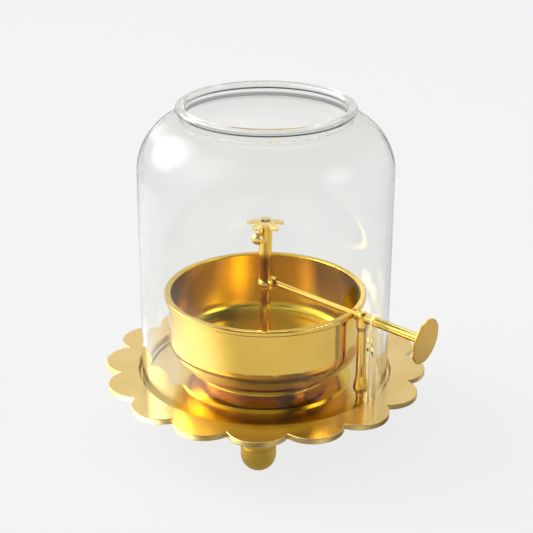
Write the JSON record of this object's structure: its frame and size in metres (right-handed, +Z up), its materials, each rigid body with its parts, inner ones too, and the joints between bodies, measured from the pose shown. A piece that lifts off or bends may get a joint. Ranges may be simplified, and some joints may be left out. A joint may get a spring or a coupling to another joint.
{
  "type": "oil lamp with chimney",
  "caption": "Brass oil lamp for a long-burning flame: petal-edged base on feet, round oil bowl, wick raised by a side rod with a disc knob, and a lift-off glass chimney.",
  "frame": {"origin": "on the lamp's axis, in the plane of the feet on which it stands", "axes": "+Z up along the lamp's axis, -Y towards the front foot, +X to the right, the side of the knob"},
  "size_m": [0.1554, 0.153, 0.1534],
  "materials": {
    "satin_brass": "satin, warm gold",
    "polished_brass": "polished, deep gold",
    "fastening": "plain",
    "clear_glass": "clear",
    "cotton": "twisted cotton"
  },
  "bodies": {
    "stand": {"base_plate": "satin_brass", "front_foot": "satin_brass", "right_foot": "satin_brass", "left_foot": "satin_brass", "pedestal": "polished_brass", "oil_bowl": "polished_brass", "centre_screw": "fastening", "centre_washer": "fastening", "support_post": "polished_brass", "post_nut": "fastening", "bearing_tube": "polished_brass", "wick_tube": "polished_brass", "raiser_housing": "polished_brass", "housing_plug": "polished_brass"},
    "chimney": {"glass_chimney": "clear_glass"},
    "adjuster": {"adjuster_rod": "polished_brass", "toothed_wheel": "polished_brass", "knob_disc": "satin_brass"},
    "wick_run": {"wick": "cotton"},
    "burner": {"burner_sleeve": "polished_brass", "flame_star": "satin_brass"},
    "clamp_screw": {"thumbscrew": "polished_brass"}
  },
  "joints": [
    {"name": "chimney_lift", "type": "slide", "parent": "stand", "child": "chimney", "axis": [0, 0, 1], "range_m": [0, 0.14]},
    {"name": "knob_turn", "type": "hinge", "parent": "stand", "child": "adjuster", "pos_m": [0.00207, 0.00319, 0.0663], "axis": [-0.8355, 0.5426, 0.0872], "range_deg": [-90, 345]},
    {"name": "wick_feed", "type": "slide", "parent": "stand", "child": "wick_run", "axis": [0, 0, 1], "range_m": [-0.0035, 0.0125]},
    {"name": "burner_lift", "type": "slide", "parent": "stand", "child": "burner", "axis": [0, 0, 1], "range_m": [0, 0.03]},
    {"name": "thumbscrew_turn", "type": "hinge", "parent": "burner", "child": "clamp_screw", "pos_m": [0, 0, 0.0912], "axis": [-0.515, -0.8572, 0], "range_deg": [0, 360]}
  ],
  "couplings": [
    {"joint": "wick_feed", "follows": "knob_turn", "m_per_rad": 0.002}
  ]
}
